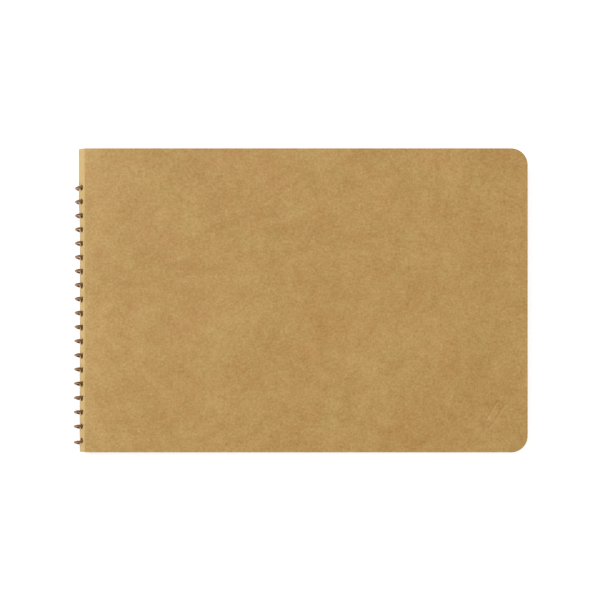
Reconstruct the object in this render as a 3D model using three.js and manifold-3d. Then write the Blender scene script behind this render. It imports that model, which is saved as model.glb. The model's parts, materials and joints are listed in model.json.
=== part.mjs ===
// A landscape sketchbook bound on a spiral wire: a wrap-around cover of kraft board, scored into a
// back panel, a bowed spine and a front panel, and a stack of drawing sheets that turn on the wire.
// Millimetres. It lies closed on its back: +X from the spine to the fore edge, +Y to the head of the
// book, +Z up. The origin is the centre of its footprint, on the surface that it lies on.
import * as THREE from "three";
import { mergeVertices } from "three/addons/utils/BufferGeometryUtils.js";
import Module from "manifold-3d";

const wasm = await Module();
wasm.setup();

// ---- Driving dimensions ----

// The cover board
const COVER_HEIGHT = 128;
const COVER_WIDTH = 188.95; // from the spine's outer face to the fore edge
const BOARD = 0.55;
const CORNER_RADIUS = 7;
const SPINE_HEIGHT = 13.7; // from one score line to the other
const SPINE_BOW = 2.85; // how far the spine stands out past its score lines
const PANEL_GAP = 0.45; // between a score line and the end of its panel

// The spiral wire
const WIRE = 1.0;
const COIL_RADIUS = 5.5; // to the wire's centre line
const COIL_STAND_OUT = 2.05; // how far the wire passes the spine's outer face
const PITCH = 5.92;
const TURNS = 19;
const FIRST_TURN_Y = 50.6; // where the first turn passes the middle of the stack
const LAST_TURN_STRETCH = 0.8; // the last turn is pulled this much longer

// The sheets
const SHEETS = 20;
const SHEET_WIDTH = 182;
const SHEET_HEIGHT = 127;
const SHEET = 0.4;
const AIR = 0.02; // between one sheet and the next at the wire
const STACK_FAN = 1.6; // how much thicker the stack is at the fore edge
const STACK_CLEARANCE = 0.2; // between the stack and each cover at the fore edge
const SHEET_EDGE = 1.3; // from the coil's centre to the bound edge of the middle sheets
const SHEET_SLIDE = 0.5; // how fully the outer sheets follow the curve of the wire
const SHEET_HOLE = 3.55; // from a sheet's bound edge to the middle of its holes
const SHEET_HOLE_RADIUS = 2.3;
const SHEET_HOLE_DROP = 0.1; // how far a hole's middle is below the wire in the middle sheets

// The spine's holes, cut on the slant that the wire takes through the board
const SPINE_HOLE_HEIGHT = 2.5;
const SPINE_HOLE_WIDTH = 1.8; // across the wire
const SPINE_HOLE_DROP = 0.3;

// ---- Places worked out from them ----

const SPINE_X = COIL_STAND_OUT - (COVER_WIDTH + COIL_STAND_OUT) / 2;
const CREASE_X = SPINE_X + SPINE_BOW;
const PANEL_WIDTH = COVER_WIDTH - SPINE_BOW;
const COIL_X = SPINE_X - COIL_STAND_OUT + WIRE / 2 + COIL_RADIUS;
const COIL_Z = SPINE_HEIGHT / 2;

// The spine is an arc through both score lines, with its middle at ARC_X.
const ARC_RADIUS = (SPINE_BOW ** 2 + COIL_Z ** 2) / (2 * SPINE_BOW);
const ARC_X = SPINE_X + ARC_RADIUS;
const ARC_HALF_ANGLE = Math.asin(COIL_Z / ARC_RADIUS);

// The lowest sheet leans down to the back cover, the others fan out over it, and the front cover
// leans down to the highest.
const STACK_HEIGHT = SHEETS * (SHEET + AIR) - AIR;
const STACK_REACH = SHEET_EDGE + SHEET_WIDTH;
const LOWEST_TILT = (COIL_Z - STACK_HEIGHT / 2 - BOARD - STACK_CLEARANCE) / STACK_REACH;
const HIGHEST_TILT = LOWEST_TILT - STACK_FAN / STACK_REACH;
const STACK_TOP = COIL_Z + STACK_HEIGHT / 2 - STACK_REACH * HIGHEST_TILT;
const FRONT_TILT = (SPINE_HEIGHT - BOARD - STACK_CLEARANCE - STACK_TOP) / PANEL_WIDTH;

// The angle on the coil, over from the middle of the stack, at which the wire crosses the spine.
const BOARD_RADIUS = ARC_RADIUS - BOARD / 2;
const CROSSING = Math.acos(
  (COIL_RADIUS ** 2 + (ARC_X - COIL_X) ** 2 - BOARD_RADIUS ** 2) / (2 * COIL_RADIUS * (ARC_X - COIL_X)),
);

// ---- Materials ----

const kraftBoard = new THREE.MeshStandardMaterial({ color: 0xbe9a61, roughness: 0.85 });
const drawingPaper = new THREE.MeshStandardMaterial({ color: 0xf3eee2, roughness: 0.9 });
const copperWire = new THREE.MeshStandardMaterial({ color: 0x8a5c3c, roughness: 0.3, metalness: 1 });

// ---- Helpers ----

const FULL_TURN = 2 * Math.PI;
const CORNER_SEGMENTS = 5;

function toSolid(geometry) {
  const plain = geometry.clone();
  plain.deleteAttribute("normal");
  plain.deleteAttribute("uv");
  const merged = mergeVertices(plain, 1e-4);
  return new wasm.Manifold(
    new wasm.Mesh({
      numProp: 3,
      vertProperties: merged.attributes.position.array,
      triVerts: new Uint32Array(merged.index.array),
    }),
  );
}

function toGeometry(solid) {
  const { vertProperties, triVerts } = solid.getMesh();
  return new THREE.BufferGeometry()
    .setAttribute("position", new THREE.BufferAttribute(vertProperties, 3))
    .setIndex(new THREE.BufferAttribute(triVerts, 1));
}

function polygon(sides, radiusX, radiusY, x = 0, y = 0) {
  return Array.from({ length: sides }, (_, i) => {
    const angle = (i / sides) * FULL_TURN;
    return new THREE.Vector2(x + radiusX * Math.cos(angle), y + radiusY * Math.sin(angle));
  });
}

// A flat leaf from x = 0 at its bound edge to x = width, with its two fore-edge corners rounded.
function leafOutline(width, height) {
  const right = width - CORNER_RADIUS;
  const top = height / 2 - CORNER_RADIUS;
  const outline = new THREE.Shape();
  outline.moveTo(0, -height / 2);
  outline.lineTo(right, -height / 2);
  outline.absarc(right, -top, CORNER_RADIUS, -Math.PI / 2, 0, false);
  outline.absarc(right, top, CORNER_RADIUS, 0, Math.PI / 2, false);
  outline.lineTo(0, height / 2);
  return outline;
}

function cutLeaf(outline, thickness) {
  return new THREE.ExtrudeGeometry(outline, {
    depth: thickness,
    bevelEnabled: false,
    curveSegments: CORNER_SEGMENTS,
  });
}

function named(name, geometry, material) {
  const mesh = new THREE.Mesh(geometry, material.clone());
  mesh.name = name;
  return mesh;
}

// ---- The spiral wire ----

const COIL_STEPS = 12; // in each turn
const WIRE_SIDES = 6;
const COIL_START = THREE.MathUtils.degToRad(-98); // under the stack, beside the first sheet holes
const COIL_END = (TURNS - 1) * FULL_TURN + THREE.MathUtils.degToRad(262); // inside the last spine hole

// How far down the book the wire has run at an angle on the coil.
function wireFall(angle) {
  const turns = angle / FULL_TURN;
  return PITCH * turns + LAST_TURN_STRETCH * THREE.MathUtils.smoothstep(turns, TURNS - 0.8, TURNS - 0.5);
}

// The wire's centre line: up through the stack, over it, out through the spine, back in and under.
class CoilLine extends THREE.Curve {
  getPoint(t, target = new THREE.Vector3()) {
    const angle = THREE.MathUtils.lerp(COIL_START, COIL_END, t);
    return target.set(
      COIL_RADIUS * Math.cos(angle),
      FIRST_TURN_Y - wireFall(angle),
      COIL_RADIUS * Math.sin(angle),
    );
  }
}

function wireCoil() {
  const turns = (COIL_END - COIL_START) / FULL_TURN;
  const tube = new THREE.ExtrudeGeometry(new THREE.Shape(polygon(WIRE_SIDES, WIRE / 2, WIRE / 2)), {
    steps: Math.round(turns * COIL_STEPS),
    extrudePath: new CoilLine(),
    bevelEnabled: false,
  });
  const coil = named("wire_coil", tube, copperWire);
  coil.position.set(COIL_X, 0, COIL_Z);
  return coil;
}

// ---- The cover ----

const SPINE_SEGMENTS = 8;
const SPINE_HOLE_SIDES = 6;
const CUTTER_LENGTH = 4.4;

function bowedStrip() {
  const profile = new THREE.Shape();
  profile.absarc(0, 0, ARC_RADIUS, Math.PI - ARC_HALF_ANGLE, Math.PI + ARC_HALF_ANGLE, false);
  profile.absarc(0, 0, ARC_RADIUS - BOARD, Math.PI + ARC_HALF_ANGLE, Math.PI - ARC_HALF_ANGLE, true);
  return new THREE.ExtrudeGeometry(profile, {
    depth: COVER_HEIGHT,
    bevelEnabled: false,
    curveSegments: SPINE_SEGMENTS,
  })
    .rotateX(Math.PI / 2)
    .translate(ARC_X, COVER_HEIGHT / 2, COIL_Z);
}

// What is cut away for the wire where it crosses the spine at an angle on the coil.
function spineHole(angle) {
  const section = polygon(SPINE_HOLE_SIDES, SPINE_HOLE_WIDTH / 2, SPINE_HOLE_HEIGHT / 2);
  const cutter = new THREE.ExtrudeGeometry(new THREE.Shape(section), {
    depth: CUTTER_LENGTH,
    bevelEnabled: false,
  });
  return cutter
    .translate(COIL_RADIUS, FIRST_TURN_Y - SPINE_HOLE_DROP - wireFall(angle), -CUTTER_LENGTH / 2)
    .rotateY(-angle)
    .translate(COIL_X, 0, COIL_Z);
}

function spine() {
  let board = toSolid(bowedStrip());
  for (let turn = 0; turn < TURNS; turn++) {
    for (const angle of [CROSSING, FULL_TURN - CROSSING]) {
      board = board.subtract(toSolid(spineHole(turn * FULL_TURN + angle)));
    }
  }
  return named("spine", toGeometry(board), kraftBoard);
}

function panel(name) {
  return named(name, cutLeaf(leafOutline(PANEL_WIDTH - PANEL_GAP, COVER_HEIGHT), BOARD), kraftBoard);
}

function backCover() {
  const board = panel("back_cover");
  board.position.set(CREASE_X + PANEL_GAP, 0, 0);
  return board;
}

// The front panel hangs on the upper score line, which is the group's own Y axis.
function frontCover() {
  const board = panel("front_cover");
  board.position.set(PANEL_GAP, 0, -BOARD);
  const hinge = new THREE.Group();
  hinge.position.set(CREASE_X, 0, SPINE_HEIGHT);
  hinge.rotation.y = FRONT_TILT;
  hinge.add(board);
  return hinge;
}

// ---- The sheets ----

const SHEET_HOLE_SIDES = 6;

function sheetOutline() {
  const outline = leafOutline(SHEET_WIDTH, SHEET_HEIGHT);
  for (let turn = 0; turn < TURNS; turn++) {
    const y = FIRST_TURN_Y - SHEET_HOLE_DROP - PITCH * turn;
    // A corner of the polygon stands out past the hole's radius so that its flats lie on it.
    const radius = SHEET_HOLE_RADIUS / Math.cos(Math.PI / SHEET_HOLE_SIDES);
    outline.holes.push(new THREE.Path(polygon(SHEET_HOLE_SIDES, radius, radius, SHEET_HOLE, y)));
  }
  return outline;
}

// Each sheet turns about the coil's centre line, which is its group's own Y axis. Sheet 1 is the
// first that the reader meets, under the front cover.
function stack() {
  const group = new THREE.Group();
  const cut = cutLeaf(sheetOutline(), SHEET);
  for (let i = 0; i < SHEETS; i++) {
    const height = STACK_HEIGHT / 2 - SHEET / 2 - i * (SHEET + AIR);
    const slide = SHEET_SLIDE * (COIL_RADIUS - Math.sqrt(COIL_RADIUS ** 2 - height ** 2));
    const sheet = named(`sheet_${String(i + 1).padStart(2, "0")}`, cut, drawingPaper);
    sheet.position.set(SHEET_EDGE - slide, 0, height - SHEET / 2);
    const hinge = new THREE.Group();
    hinge.position.set(COIL_X, 0, COIL_Z);
    hinge.rotation.y = THREE.MathUtils.lerp(HIGHEST_TILT, LOWEST_TILT, i / (SHEETS - 1));
    hinge.add(sheet);
    group.add(hinge);
  }
  return group;
}

const sketchbook = new THREE.Group();
sketchbook.add(backCover(), spine(), frontCover(), wireCoil(), stack());

export default sketchbook;
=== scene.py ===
"""A landscape sketchbook in kraft board covers, bound on a copper-coloured spiral wire."""
import json
import math

import bmesh
import bpy
import numpy as np
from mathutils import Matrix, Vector
from mathutils.geometry import delaunay_2d_cdt


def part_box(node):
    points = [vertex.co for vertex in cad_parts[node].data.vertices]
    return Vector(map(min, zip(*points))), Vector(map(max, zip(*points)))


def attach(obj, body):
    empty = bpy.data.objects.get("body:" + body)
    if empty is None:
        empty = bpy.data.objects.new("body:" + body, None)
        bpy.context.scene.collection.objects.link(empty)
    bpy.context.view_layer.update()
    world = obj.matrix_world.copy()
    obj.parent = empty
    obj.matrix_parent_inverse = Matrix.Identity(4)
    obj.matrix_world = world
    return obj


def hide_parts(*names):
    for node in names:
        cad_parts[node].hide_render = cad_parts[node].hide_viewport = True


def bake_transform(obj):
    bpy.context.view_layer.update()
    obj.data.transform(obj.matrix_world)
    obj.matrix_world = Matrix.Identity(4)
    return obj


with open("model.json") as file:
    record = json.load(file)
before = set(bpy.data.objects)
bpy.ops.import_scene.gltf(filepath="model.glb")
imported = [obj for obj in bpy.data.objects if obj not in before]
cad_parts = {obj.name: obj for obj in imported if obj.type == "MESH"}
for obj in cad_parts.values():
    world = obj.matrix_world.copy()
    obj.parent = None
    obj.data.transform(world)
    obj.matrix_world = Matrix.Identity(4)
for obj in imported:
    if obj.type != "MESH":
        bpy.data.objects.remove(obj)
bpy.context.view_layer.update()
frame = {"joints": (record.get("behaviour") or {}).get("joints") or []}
rng = np.random.default_rng(7)

MM = 0.001

# ---------------------------------------------------------------- the frame's measures, in mm

joints = {j["name"]: [c / MM for c in j["pos_m"]] for j in frame["joints"]}
BACK_CREASE = joints["spine_fold"]
FRONT_CREASE = joints["front_cover_hinge"]
COIL_AXIS = joints["sheet_01_turn"]


def box_mm(node):
    low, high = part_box(node)
    return [c / MM for c in low], [c / MM for c in high]


spine_low, spine_high = box_mm("spine")
front_low, front_high = box_mm("front_cover")

COVER_HEIGHT = spine_high[1] - spine_low[1]
SPINE_X = spine_low[0]
SPINE_BOW = BACK_CREASE[0] - SPINE_X
HALF_SPINE = FRONT_CREASE[2] / 2
ARC_RADIUS = (SPINE_BOW ** 2 + HALF_SPINE ** 2) / (2 * SPINE_BOW)
ARC_LENGTH = ARC_RADIUS * math.asin(HALF_SPINE / ARC_RADIUS)
BOARD = 0.55
CORNER_RADIUS = 7.0

PITCH = 5.92
TURNS = 19
FIRST_TURN_Y = 50.6
LAST_TURN_STRETCH = 0.8  # the last gap between turns is wider by this
COIL_RADIUS = 5.5  # to the middle of the wire
WIRE = 1.0

SHEETS = 20
SHEET = 0.4
AIR = 0.02  # between sheets
SHEET_WIDTH = 182.0
SHEET_HEIGHT = 127.0


def smooth(t):
    t = min(max(t, 0.0), 1.0)
    return t * t * (3 - 2 * t)


CROWDING = 0.68  # how far the middle turns sit towards the head
ARCH = 0.27  # how far each turn rises over the spine's edge
SQUARENESS = 0.76  # at 1 the wire would run quite square to the spine there


def wire_y(turns):
    """Where along the book the wire is after some turns.

    The real coil isn't quite even: its turns crowd a little to the head, and each arches over the
    spine's edge and then runs nearly square to it from its upper hole to its outermost point.
    """
    stretch = LAST_TURN_STRETCH * smooth((turns - (TURNS - 0.76)) / 0.12)
    along = min(max((turns - 0.5) / (TURNS - 2), 0.0), 1.0)
    crowd = CROWDING * (math.sin(math.pi * along) ** 0.8 - 0.5)
    # a turn comes out of its upper hole at part 0.3 and is outermost at 0.5
    part = turns % 1.0
    square = max(0.5 - part, 0.0) * smooth((part - 0.27) / 0.06)
    arch = ARCH * math.exp(-((part - 0.38) / 0.05) ** 2)
    return FIRST_TURN_Y - PITCH * turns - stretch + crowd + arch - SQUARENESS * PITCH * square


def wire_lean(y):
    """How far the coil leans out of the spine, which it does most at the foot of the book."""
    return -0.32 + 0.18 * smooth(y / 50) - 0.4 * smooth(-y / 56)


# ---------------------------------------------------------------- mesh helpers


def make_object(name, vertices, faces, material):
    mesh = bpy.data.meshes.new(name)
    mesh.from_pydata([tuple(v) for v in vertices], [], faces)
    mesh.validate()
    build = bmesh.new()
    build.from_mesh(mesh)
    bmesh.ops.recalc_face_normals(build, faces=build.faces)
    build.to_mesh(mesh)
    build.free()
    mesh.polygons.foreach_set("use_smooth", [True] * len(mesh.polygons))
    mesh.materials.append(material)
    piece = bpy.data.objects.new(name, mesh)
    bpy.context.collection.objects.link(piece)
    return piece


CORNER_STEPS = 14


def rounded_leaf(width, height, radius, inset, step, flush=False):
    """A leaf's outline, counter-clockwise: square corners at its bound edge, round ones opposite.

    A flush one isn't inset at its bound edge.
    """
    left, right, top = 0.0 if flush else inset, width - inset, height / 2 - inset
    arc = radius - inset
    angles = [math.pi / 2 * i / CORNER_STEPS for i in range(CORNER_STEPS)]
    count = max(int((right - arc - left) / step), 1)
    points = [(left + (right - arc - left) * i / count, -top) for i in range(count)]
    points += [(right - arc + arc * math.sin(a), -top + arc * (1 - math.cos(a))) for a in angles]
    count = max(int((2 * top - 2 * arc) / step), 1)
    points += [(right, -top + arc + (2 * top - 2 * arc) * i / count) for i in range(count)]
    points += [(right - arc * (1 - math.cos(a)), top - arc + arc * math.sin(a)) for a in angles]
    count = max(int((right - arc - left) / step), 1)
    points += [(right - arc - (right - arc - left) * i / count, top) for i in range(count)]
    count = max(int(2 * top / step), 1)
    points += [(left, top - 2 * top * i / count) for i in range(count)]
    return points


def fill(outer, holes, inner_points):
    """Triangles over a flat outline with holes, with more points inside it."""
    points, edges = [], []
    for loop in [outer, *holes]:
        first = len(points)
        points += loop
        edges += [(first + i, first + (i + 1) % len(loop)) for i in range(len(loop))]
    points += inner_points
    found, _, faces, origin, _, _ = delaunay_2d_cdt(
        [Vector(p) for p in points], edges, [], 1, 1e-5)
    middles = [(sum(p[0] for p in h) / len(h), sum(p[1] for p in h) / len(h)) for h in holes]
    reach = [max(math.dist(p, m) for p in h) for h, m in zip(holes, middles)]
    index = [o[0] if o else -1 for o in origin]
    kept = []
    for face in faces:
        x = sum(found[i][0] for i in face) / 3
        y = sum(found[i][1] for i in face) / 3
        if any(math.dist((x, y), m) < r and inside((x, y), h)
               for h, m, r in zip(holes, middles, reach)):
            continue
        kept.append([index[i] for i in face])
    return points, kept


def inside(point, loop):
    x, y = point
    hit = False
    for (x0, y0), (x1, y1) in zip(loop, loop[1:] + loop[:1]):
        if (y0 > y) != (y1 > y) and x < x0 + (x1 - x0) * (y - y0) / (y1 - y0):
            hit = not hit
    return hit


FLAT_PLACE = "flat_place"
RIM_SUPPORT = 0.05  # a narrow flat ring inside the rounded edge keeps the flat faces' shading flat


def slab(name, outer, holes, inner_points, thickness, rim, place, material, dent=None,
         joined=False, hole_material=None, side_sign=1):
    """A thin solid with softened cut edges.

    outer(inset) and each hole(inset, depth) give a loop of points. place(s, y, depth) puts a point
    of the flat leaf in space. dent(s, y) is how deep the upper face is pressed in. Each point keeps
    its place on the flat leaf, with side_sign on its s, so that the material bends with the piece.
    A joined one meets its other half at s = 0, where it has a plain wall with sharp edges.
    """
    support = rim + RIM_SUPPORT
    rings = [(support, 0), (rim, 0), (0.3 * rim, 0.3 * rim), (0, rim),
             (0, thickness - rim), (0.3 * rim, thickness - 0.3 * rim),
             (rim, thickness), (support, thickness)]
    vertices, faces, flat = [], [], []

    def add(points, depth, pressed=False):
        first = len(vertices)
        for s, y in points:
            d = depth + (dent(s, y) if dent and pressed else 0.0)
            vertices.append(place(s, y, d))
            flat.extend((side_sign * s * MM, y * MM, depth * MM))
        return first

    loops = []
    for inset, depth in rings:
        loops.append([outer(inset)] + [hole(-inset, depth) for hole in holes])
    sides = []
    for side in (0, -1):
        points, triangles = fill(loops[side][0], loops[side][1:], inner_points)
        first = add(points, rings[side][1], pressed=side == 0)
        faces += [[first + i for i in t] for t in triangles]
        sides.append(first)
    starts = [[sides[0]]]
    for loop in loops[0][:-1]:
        starts[0].append(starts[0][-1] + len(loop))
    for level in range(1, len(rings) - 1):
        starts.append([add(loop, rings[level][1]) for loop in loops[level]])
    last = [sides[1]]
    for loop in loops[-1][:-1]:
        last.append(last[-1] + len(loop))
    starts.append(last)
    in_holes = []
    for level, (upper, lower) in enumerate(zip(starts, starts[1:])):
        for which, (a, b) in enumerate(zip(upper, lower)):
            before = len(faces)
            loop = loops[0][which]
            n = len(loop)
            faces += [[a + i, a + (i + 1) % n, b + (i + 1) % n, b + i] for i in range(n)
                      if not (joined and which == 0 and max(loop[i][0], loop[(i + 1) % n][0]) < 1e-6)]
            if which and level > 1:
                in_holes += range(before, len(faces))
    if joined:
        bound = [i for i, (s, _) in enumerate(loops[0][0]) if s < 1e-6][1:] + [0]
        a, b = starts[0][0], starts[-1][0]
        faces += [[a + i, a + j, b + j, b + i] for i, j in zip(bound, bound[1:])]
        faces += [[first[0] + i for first in starts] for i in (bound[0], bound[-1])]
    piece = make_object(name, [[c * MM for c in v] for v in vertices], faces, material)
    attribute = piece.data.attributes.new(FLAT_PLACE, "FLOAT_VECTOR", "POINT")
    attribute.data.foreach_set("vector", flat)
    if joined:
        for edge in piece.data.edges:
            edge.use_edge_sharp = all(abs(flat[3 * i]) < 1e-9 for i in edge.vertices)
    if hole_material:
        piece.data.materials.append(hole_material)
        for face in in_holes:
            piece.data.polygons[face].material_index = 1
    return piece


def circle(x, y, radius_x, radius_y, sides):
    return [(x + radius_x * math.cos(2 * math.pi * i / sides),
             y + radius_y * math.sin(2 * math.pi * i / sides)) for i in range(sides)]


# ---------------------------------------------------------------- materials


def new_material(name):
    material = bpy.data.materials.new(name)
    material.use_nodes = True
    nodes, links = material.node_tree.nodes, material.node_tree.links
    return material, nodes, links, nodes["Principled BSDF"]


def noise(nodes, links, vector, scale, detail, roughness):
    node = nodes.new("ShaderNodeTexNoise")
    node.inputs["Scale"].default_value = scale
    node.inputs["Detail"].default_value = detail
    node.inputs["Roughness"].default_value = roughness
    node.inputs["Lacunarity"].default_value = 2.0
    links.new(vector, node.inputs["Vector"])
    return node.outputs["Fac"]


def math_node(nodes, links, operation, *values):
    node = nodes.new("ShaderNodeMath")
    node.operation = operation
    for socket, value in zip(node.inputs, values):
        if isinstance(value, (int, float)):
            socket.default_value = value
        else:
            links.new(value, socket)
    return node.outputs[0]


def smooth_step(nodes, links, value, at, to):
    """From one value to another, smoothly, between two places in millimetres."""
    node = nodes.new("ShaderNodeMapRange")
    node.interpolation_type = "SMOOTHSTEP"
    sockets = ("From Min", "From Max", "To Min", "To Max")
    for socket, number in zip(sockets, (at[0] * MM, at[1] * MM, *to)):
        node.inputs[socket].default_value = number
    links.new(value, node.inputs["Value"])
    return node.outputs[0]


def mix_colour(nodes, links, fac, a, b):
    """A colour mix: the node's colours are its inputs 6 and 7, and its output 2."""
    node = nodes.new("ShaderNodeMix")
    node.data_type = "RGBA"
    for socket, value in ((node.inputs[0], fac), (node.inputs[6], a), (node.inputs[7], b)):
        if isinstance(value, (int, float)):
            socket.default_value = value
        elif isinstance(value, tuple):
            socket.default_value = (*value, 1.0)
        else:
            links.new(value, socket)
    return node.outputs[2]


def bump(nodes, links, height, strength, distance):
    node = nodes.new("ShaderNodeBump")
    node.inputs["Strength"].default_value = strength
    node.inputs["Distance"].default_value = distance
    links.new(height, node.inputs["Height"])
    return node.outputs["Normal"]


def kraft_board():
    material, nodes, links, shader = new_material("kraft_board")
    place = nodes.new("ShaderNodeAttribute")
    place.attribute_name = FLAT_PLACE
    where = place.outputs["Vector"]
    # the pulp's clouds, from 45 mm across down, its flecks, from 5 mm, and its fibres, from 1 mm
    clouds = noise(nodes, links, where, 22, 5, 1.0)
    flecks = noise(nodes, links, where, 190, 1, 1.0)
    fibres = noise(nodes, links, where, 950, 2, 1.0)
    # the darker clouds are redder, and the colour wanders by itself as well
    tint = noise(nodes, links, where, 27, 6, 1.0)
    tint = math_node(nodes, links, "MULTIPLY_ADD", tint, 2.2, -0.1)
    tint = math_node(nodes, links, "SUBTRACT", tint, clouds)
    dark = mix_colour(nodes, links, tint, (0.286, 0.158, 0.013), (0.32, 0.136, 0.012))
    light = mix_colour(nodes, links, tint, (0.491, 0.338, 0.108), (0.536, 0.306, 0.106))
    tone = math_node(nodes, links, "MULTIPLY_ADD", clouds, 1.14, -0.57)
    for pattern, weight in ((flecks, 0.4), (fibres, 1.7)):
        pattern = math_node(nodes, links, "MULTIPLY_ADD", pattern, weight, -weight / 2)
        tone = math_node(nodes, links, "ADD", tone, pattern)
    # painted light: the board is made paler beside a score, fading away from it, for the brighter
    # light that falls there
    part = nodes.new("ShaderNodeSeparateXYZ")
    links.new(where, part.inputs[0])
    from_middle = math_node(nodes, links, "ABSOLUTE", part.outputs[0])
    away = math_node(nodes, links, "SUBTRACT", from_middle, ARC_LENGTH * MM)
    away = math_node(nodes, links, "MAXIMUM", away, 0.0)
    away = math_node(nodes, links, "MULTIPLY", away, -95.0)
    painted_crease_light = math_node(nodes, links, "EXPONENT", away)
    tone = math_node(nodes, links, "MULTIPLY_ADD", painted_crease_light, 0.22, tone)
    tone = math_node(nodes, links, "ADD", tone, 0.5)
    base = mix_colour(nodes, links, tone, dark, light)
    # and painted light and sheen: the spine's curve is made paler still, most of all beside its
    # scores, for the side light and grazing sheen on it
    painted_spine_light = smooth_step(nodes, links, from_middle,
                         (ARC_LENGTH - 0.05, ARC_LENGTH - 0.85), (0.0, 0.33))
    beside = smooth_step(nodes, links, from_middle, (1.0, 4.4), (0.5, 1.0))
    painted_spine_light = math_node(nodes, links, "MULTIPLY", painted_spine_light, beside)
    base = mix_colour(nodes, links, painted_spine_light, base, (0.73, 0.56, 0.21))
    links.new(base, shader.inputs["Base Color"])
    shader.inputs["Roughness"].default_value = 0.55
    shader.inputs["Sheen Weight"].default_value = 0.12
    shader.inputs["Sheen Roughness"].default_value = 0.4
    shader.inputs["IOR"].default_value = 1.5
    tooth = noise(nodes, links, where, 1900, 4, 0.65)
    links.new(bump(nodes, links, tooth, 0.25, 0.00008), shader.inputs["Normal"])
    return material


def painted_hole_shade():
    """Painted shade: the cut board inside the spine's holes is coloured dark brown, for the shade
    deep in them.
    """
    material, nodes, links, shader = new_material("painted_hole_shade")
    where = nodes.new("ShaderNodeTexCoord").outputs["Object"]
    hole_shade_tone = noise(nodes, links, where, 900, 3, 0.7)
    base = mix_colour(nodes, links, hole_shade_tone, (0.10, 0.048, 0.016), (0.20, 0.105, 0.04))
    links.new(base, shader.inputs["Base Color"])
    shader.inputs["Roughness"].default_value = 0.8
    return material


def drawing_paper():
    material, nodes, links, shader = new_material("drawing_paper")
    where = nodes.new("ShaderNodeTexCoord").outputs["Object"]
    clouds = noise(nodes, links, where, 260, 5, 0.6)
    base = mix_colour(nodes, links, clouds, (0.70, 0.665, 0.585), (0.76, 0.73, 0.655))
    links.new(base, shader.inputs["Base Color"])
    shader.inputs["Roughness"].default_value = 0.82
    shader.inputs["Specular IOR Level"].default_value = 0.3
    tooth = noise(nodes, links, where, 1500, 3, 0.6)
    links.new(bump(nodes, links, tooth, 0.3, 0.00006), shader.inputs["Normal"])
    return material


def copper_wire():
    material, nodes, links, shader = new_material("copper_wire")
    where = nodes.new("ShaderNodeTexCoord").outputs["Object"]
    rub = noise(nodes, links, where, 420, 4, 0.6)
    base = mix_colour(nodes, links, rub, (0.13, 0.06, 0.021), (0.31, 0.165, 0.068))
    links.new(base, shader.inputs["Base Color"])
    shader.inputs["Metallic"].default_value = 1.0
    roughness = math_node(nodes, links, "MULTIPLY_ADD", rub, 0.18, 0.18)
    links.new(roughness, shader.inputs["Roughness"])
    drawn = noise(nodes, links, where, 3000, 2, 0.5)
    links.new(bump(nodes, links, drawn, 0.1, 0.00003), shader.inputs["Normal"])
    return material


KRAFT = kraft_board()
# painted shade for the walls of the spine's holes
HOLE_SHADE = painted_hole_shade()
PAPER = drawing_paper()
COPPER = copper_wire()

# ---------------------------------------------------------------- the cover

FRONT_REACH = front_high[0] - FRONT_CREASE[0]
FRONT_TILT = math.asin((FRONT_CREASE[2] - front_low[2] - BOARD) / FRONT_REACH)
PANEL = FRONT_REACH / math.cos(FRONT_TILT)
CREASE_BEND = 1.3  # the length of board that a score line bends
PROFILE_STEP = 0.02


def cover_profile(tilt):
    """Points on the outer face from the middle of the spine to the fore edge, with headings."""
    spare = 40
    count = int((ARC_LENGTH + PANEL) / PROFILE_STEP) + spare
    s = np.arange(count) * PROFILE_STEP
    heading = math.pi / 2 - np.minimum(s, ARC_LENGTH) / ARC_RADIUS
    t = np.clip((s - ARC_LENGTH) / CREASE_BEND + 0.5, 0, 1)
    t = t * t * (3 - 2 * t)
    heading = heading * (1 - t) + (-tilt) * t
    x = SPINE_X + np.concatenate([[0], np.cumsum(np.cos(heading[:-1]) * PROFILE_STEP)])
    z = HALF_SPINE + np.concatenate([[0], np.cumsum(np.sin(heading[:-1]) * PROFILE_STEP)])
    return s, x, z, heading


FLARE_PART = 0.7  # the flare reaches over this much of each half of the spine


def flare(y):
    """How far the middle of the spine stands out past an even arc, which it does most at the head."""
    return 0.1 + 0.46 * smooth((y - 30) / 14) + 0.07 * smooth((-y - 18) / 16)


def cover_place(profile, mirrored):
    s_line, x_line, z_line, heading = profile

    def place(s, y, depth):
        x = float(np.interp(s, s_line, x_line))
        z = float(np.interp(s, s_line, z_line))
        a = float(np.interp(s, s_line, heading))
        fade = min(s / (FLARE_PART * ARC_LENGTH), 1)
        x -= flare(y) * math.cos(math.pi / 2 * fade) ** 2
        x, z = x + math.sin(a) * depth, z - math.cos(a) * depth
        return (x, y, 2 * HALF_SPINE - z if mirrored else z)

    return place


# A small generic mark, pressed blind into the lower fore-edge corner: a pencil, point down.
MARK_AT = (81.0, -48.8)
MARK_TURN = math.radians(-32)
MARK_DEPTH = 0.27
MARK_LINE_WIDTH = 0.36
MARK_REACH = 1.2  # from a line, in which the board is pressed in at all
MARK_LINES = [
    [(-1.7, 6.6), (1.7, 6.6), (1.7, -3.4), (0, -7.0), (-1.7, -3.4), (-1.7, 6.6)],
    [(-1.7, 4.6), (1.7, 4.6)],
    [(-1.7, -3.4), (-0.6, -2.9), (0.6, -2.9), (1.7, -3.4)],
    [(-0.5, -5.9), (0.5, -5.9)],
]


def mark_segments():
    c, n = math.cos(MARK_TURN), math.sin(MARK_TURN)
    lines = [[(MARK_AT[0] + x * c - y * n, MARK_AT[1] + x * n + y * c) for x, y in line]
             for line in MARK_LINES]
    return [(a, b) for line in lines for a, b in zip(line, line[1:])]


SEGMENTS = mark_segments()


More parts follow.
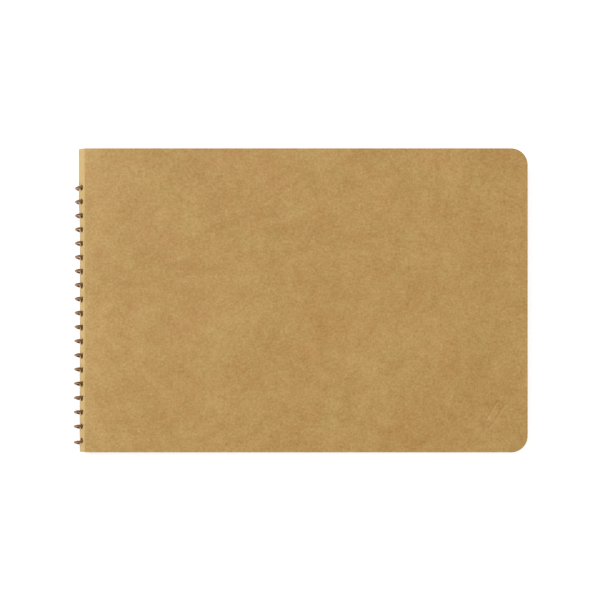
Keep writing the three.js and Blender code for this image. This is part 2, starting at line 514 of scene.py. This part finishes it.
def mark_dent(x, y):
    nearest = math.inf
    for (x0, y0), (x1, y1) in SEGMENTS:
        dx, dy = x1 - x0, y1 - y0
        t = min(max(((x - x0) * dx + (y - y0) * dy) / (dx * dx + dy * dy), 0), 1)
        nearest = min(nearest, math.hypot(x - x0 - t * dx, y - y0 - t * dy))
    if nearest >= MARK_REACH:
        return 0.0
    return MARK_DEPTH * math.exp(-(nearest / MARK_LINE_WIDTH) ** 2)


HOLE_SIDES = 24
SPINE_HOLE = 4.45  # from the middle of the spine to the middle of a hole, on the outer face
SPINE_HOLE_SLANT = 0.6  # the hole goes through aslant, by the wire's direction
SPINE_HOLE_RADII = (1.26, 1.14)  # round the spine, and along it
HOLE_CLEARANCE = 1.75  # from a hole's middle to the mesh points round it
CROSSING = 112.9 / 360  # the part of a turn at which the wire goes through the spine
UPPER_HOLE_DROP = 1.24  # the holes are even, so the wire lies now to one side of them
LOWER_HOLE_DROP = -0.2  # and now to the other


def spine_hole(y):
    def loop(inset, depth):
        s = SPINE_HOLE + SPINE_HOLE_SLANT * depth / BOARD
        return circle(s, y, SPINE_HOLE_RADII[0] - inset, SPINE_HOLE_RADII[1] - inset, HOLE_SIDES)
    return loop


def grid(s_values, y_values):
    return [(float(s), float(y)) for s in s_values for y in y_values]


def cover_half(name, front):
    tilt = FRONT_TILT if front else 0.0
    profile = cover_profile(tilt)
    width = float(np.interp(front_high[0], profile[1], profile[0]))
    if front:
        middles = [FIRST_TURN_Y - PITCH * (k + CROSSING) - UPPER_HOLE_DROP for k in range(TURNS)]
    else:
        middles = [FIRST_TURN_Y - PITCH * (k + 1 - CROSSING) - LOWER_HOLE_DROP
                   for k in range(TURNS)]
        middles[-1] -= LAST_TURN_STRETCH
    holes = [spine_hole(y) for y in middles]

    def outer(inset):
        return rounded_leaf(width, COVER_HEIGHT, CORNER_RADIUS, inset, step=1.48, flush=True)

    # the mesh is fine round the spine and the crease, and coarse over the flat panel
    edge = COVER_HEIGHT / 2 - 0.5
    rows = np.linspace(-edge, edge, 173)
    near = np.concatenate([np.arange(0.35, 3.4, 0.45), [3.5],
                           np.arange(7.0, 9.2, 0.16), [9.6, 10.4, 12.0, 14.5, 18.0]])
    points = grid(near, rows)
    centres = [np.mean(h(0, depth), axis=0) for depth in (0, BOARD) for h in holes]
    points += [p for p in grid(np.arange(3.8, 6.9, 0.3), rows)
               if all(math.dist(p, c) > HOLE_CLEARANCE for c in centres)]
    panel = grid(np.arange(24.0, width - 0.4, 5.2), np.linspace(-edge + 0.3, edge - 0.3, 26))
    # and finest under the mark
    s_mark = float(np.interp(MARK_AT[0], profile[1], profile[0]))
    if front:
        points += grid(np.arange(s_mark - 7.5, s_mark + 7.5, 0.24),
                       np.arange(MARK_AT[1] - 8.2, MARK_AT[1] + 8.2, 0.24))
        panel = [p for p in panel if abs(p[0] - s_mark) > 8.5 or abs(p[1] - MARK_AT[1]) > 9.2]
    corner = CORNER_RADIUS + 0.4

    def on_board(p):
        dx, dy = p[0] - (width - corner), abs(p[1]) - (COVER_HEIGHT / 2 - corner)
        return not (dx > 0 and dy > 0 and math.hypot(dx, dy) > corner - 1.0)

    points += [p for p in panel if on_board(p)]
    dent = None
    if front:
        offset = MARK_AT[0] - s_mark

        def dent(s, y):
            if abs(s - s_mark) > 8 or abs(y - MARK_AT[1]) > 9:
                return 0.0
            return mark_dent(s + offset, y)

    return slab(name, outer, holes, points, BOARD, 0.1, cover_place(profile, not front), KRAFT, dent,
                joined=True, hole_material=HOLE_SHADE, side_sign=1 if front else -1)


front = cover_half("cover_front_half", True)
back = cover_half("cover_back_half", False)
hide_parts("front_cover", "spine")
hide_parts("back_cover")
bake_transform(front)
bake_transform(back)

# ---------------------------------------------------------------- the spiral wire

WIRE_SIDES = 12
STEPS = 48  # in a turn
LEAN_SHARPNESS = 2.5  # how much the lean is kept to the part of a turn outside the spine
START, END = -90 / 360, TURNS - 1 + 259 / 360  # turns
CRIMP_BEND, CRIMP_LEG, CRIMP_STEPS = 0.6, 1.7, 6
END_ROUNDING = ((0.8, 0.13), (0.45, 0.2))  # each ring's share of the wire's radius, and how far out


def coil_line():
    def at(turns):
        a = 2 * math.pi * turns
        y = wire_y(turns)
        out = (0.5 - 0.5 * math.cos(a)) ** LEAN_SHARPNESS
        return Vector((COIL_AXIS[0] + COIL_RADIUS * math.cos(a) + wire_lean(y) * out, y,
                       COIL_AXIS[2] + COIL_RADIUS * math.sin(a)))

    count = int((END - START) * STEPS)
    points = [at(START + (END - START) * i / count) for i in range(count + 1)]

    def crimp(last, before, inwards):
        ahead = (last - before).normalized() * CRIMP_BEND
        out = []
        for i in range(1, CRIMP_STEPS + 1):
            a = math.pi / 2 * i / CRIMP_STEPS
            out.append(last + ahead * math.sin(a) + inwards * CRIMP_BEND * (1 - math.cos(a)))
        out += [out[-1] + inwards * CRIMP_LEG * i / 3 for i in (1, 2, 3)]
        return out

    head = crimp(points[0], points[1], Vector((0, -1, 0)))
    tail = crimp(points[-1], points[-2], Vector((0, 1, 0)))
    return head[::-1] + points + tail


def tube(name, line, radius, sides, material):
    vertices, faces = [], []
    tangent = (line[1] - line[0]).normalized()
    normal = tangent.orthogonal().normalized()
    for i, point in enumerate(line):
        ahead = line[min(i + 1, len(line) - 1)] - line[max(i - 1, 0)]
        new_tangent = ahead.normalized()
        normal = (normal - new_tangent * normal.dot(new_tangent)).normalized()
        side = new_tangent.cross(normal)
        for k in range(sides):
            a = 2 * math.pi * k / sides
            vertices.append(point + (normal * math.cos(a) + side * math.sin(a)) * radius)
        if i:
            a, b = (i - 1) * sides, i * sides
            faces += [[a + k, a + (k + 1) % sides, b + (k + 1) % sides, b + k] for k in range(sides)]
    for end, toward in ((0, -1), (len(line) - 1, 1)):
        ahead = (line[end] - line[end - toward]).normalized()
        rings = [end * sides]
        for shrink, push in END_ROUNDING:
            first = len(vertices)
            for k in range(sides):
                v = vertices[end * sides + k]
                vertices.append(line[end] + (v - line[end]) * shrink + ahead * push)
            rings.append(first)
        for a, b in zip(rings, rings[1:]):
            faces += [[a + k, a + (k + 1) % sides, b + (k + 1) % sides, b + k] for k in range(sides)]
        faces.append([rings[-1] + k for k in range(sides)])
    return make_object(name, [v * MM for v in vertices], faces, material)


coil = tube("spiral_wire", coil_line(), WIRE / 2, WIRE_SIDES, COPPER)
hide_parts("wire_coil")
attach(coil, "spine")

# ---------------------------------------------------------------- the sheets

SHEET_HOLE = 3.55  # from a sheet's bound edge to the middle of its holes
SHEET_HOLE_RADIUS = 2.4
SHEET_HOLE_DROP = 0.1  # the holes lie a little to the foot side of the wire
SHEET_LEFT = 1.3  # from the wire's axis to a middle sheet's bound edge


def sheet_hole(turn):
    y = wire_y(turn) - SHEET_HOLE_DROP
    return lambda inset, depth: circle(SHEET_HOLE, y, SHEET_HOLE_RADIUS - inset,
                                       SHEET_HOLE_RADIUS - inset, HOLE_SIDES)


def sheet(index):
    node = f"sheet_{index + 1:02d}"
    low, high = box_mm(node)
    stack = SHEETS * (SHEET + AIR) - AIR
    height = stack / 2 - SHEET / 2 - index * (SHEET + AIR)
    # the outer sheets lie a little nearer the spine, round the curve of the wire
    left = SHEET_LEFT - 0.5 * (COIL_RADIUS - math.sqrt(COIL_RADIUS ** 2 - height ** 2))
    tilt = (high[2] - low[2] - SHEET) / SHEET_WIDTH
    # no two sheets are cut quite alike
    cut_x, cut_y = rng.uniform(-0.22, 0.0), rng.uniform(-0.14, 0.14)
    trim = rng.uniform(0, 0.2)

    def place(x, y, depth):
        x, z = left + x, height + SHEET / 2 - depth
        return (COIL_AXIS[0] + x * math.cos(tilt) + z * math.sin(tilt), y,
                COIL_AXIS[2] - x * math.sin(tilt) + z * math.cos(tilt))

    def outer(inset):
        loop = rounded_leaf(SHEET_WIDTH + cut_x, SHEET_HEIGHT - trim, CORNER_RADIUS, inset, step=8.0)
        return [(x, y + cut_y * (1 if x > 10 else 0.3)) for x, y in loop]

    holes = [sheet_hole(turn) for turn in range(TURNS)]
    points = grid(np.arange(10, SHEET_WIDTH - 1, 16), np.linspace(-54, 54, 9))
    piece = slab(f"leaf_{index + 1:02d}", outer, holes, points, SHEET, 0.06, place, PAPER)
    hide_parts(node)
    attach(piece, node)


for index in range(SHEETS):
    sheet(index)

# ---------------------------------------------------------------- the studio

FLOOR = 3  # metres from its middle to each side
floor_mesh = bpy.data.meshes.new("floor")
corners = [(x * FLOOR, y * FLOOR, 0) for x, y in ((-1, -1), (1, -1), (1, 1), (-1, 1))]
floor_mesh.from_pydata(corners, [], [(0, 1, 2, 3)])
floor = bpy.data.objects.new("floor", floor_mesh)
bpy.context.collection.objects.link(floor)
floor.location.z = -0.2 * MM
material, _, _, shader = new_material("floor")
shader.inputs["Base Color"].default_value = (0.72, 0.72, 0.72, 1)
shader.inputs["Roughness"].default_value = 0.9
shader.inputs["Emission Color"].default_value = (1, 1, 1, 1)
shader.inputs["Emission Strength"].default_value = 0.55
floor_mesh.materials.append(material)

world = bpy.data.worlds.new("studio")
bpy.context.scene.world = world
world.use_nodes = True
background = world.node_tree.nodes["Background"]
background.inputs["Color"].default_value = (1.0, 1.0, 1.0, 1)
background.inputs["Strength"].default_value = 0.62


def softbox(name, place, size, power):
    """A square soft light that points at the book."""
    light = bpy.data.lights.new(name, "AREA")
    light.shape = "RECTANGLE"
    light.size, light.size_y = size, size
    light.energy = power
    lamp = bpy.data.objects.new(name, light)
    lamp.location = place
    lamp.rotation_euler = Vector(place).to_track_quat("Z", "Y").to_euler()
    bpy.context.collection.objects.link(lamp)


softbox("key", (-0.54, 0.42, 1.23), 0.7, 10.2)
softbox("fill", (0.9, -0.5, 1.2), 1.0, 2.0)

CAMERA_DISTANCE = 1250
LOOKS_AT = (-0.3, 0.14, 13.7)

camera_data = bpy.data.cameras.new("camera")
camera_data.sensor_width = 36.0
camera_data.lens = 178.4
camera = bpy.data.objects.new("camera", camera_data)
# square to the front cover, which leans down a little to its fore edge
camera.location = ((LOOKS_AT[0] + CAMERA_DISTANCE * math.sin(FRONT_TILT)) * MM, LOOKS_AT[1] * MM,
                   (LOOKS_AT[2] + CAMERA_DISTANCE * math.cos(FRONT_TILT)) * MM)
camera.rotation_euler = (0, FRONT_TILT, 0)
bpy.context.collection.objects.link(camera)
bpy.context.scene.camera = camera
bpy.context.scene.view_settings.view_transform = "Standard"
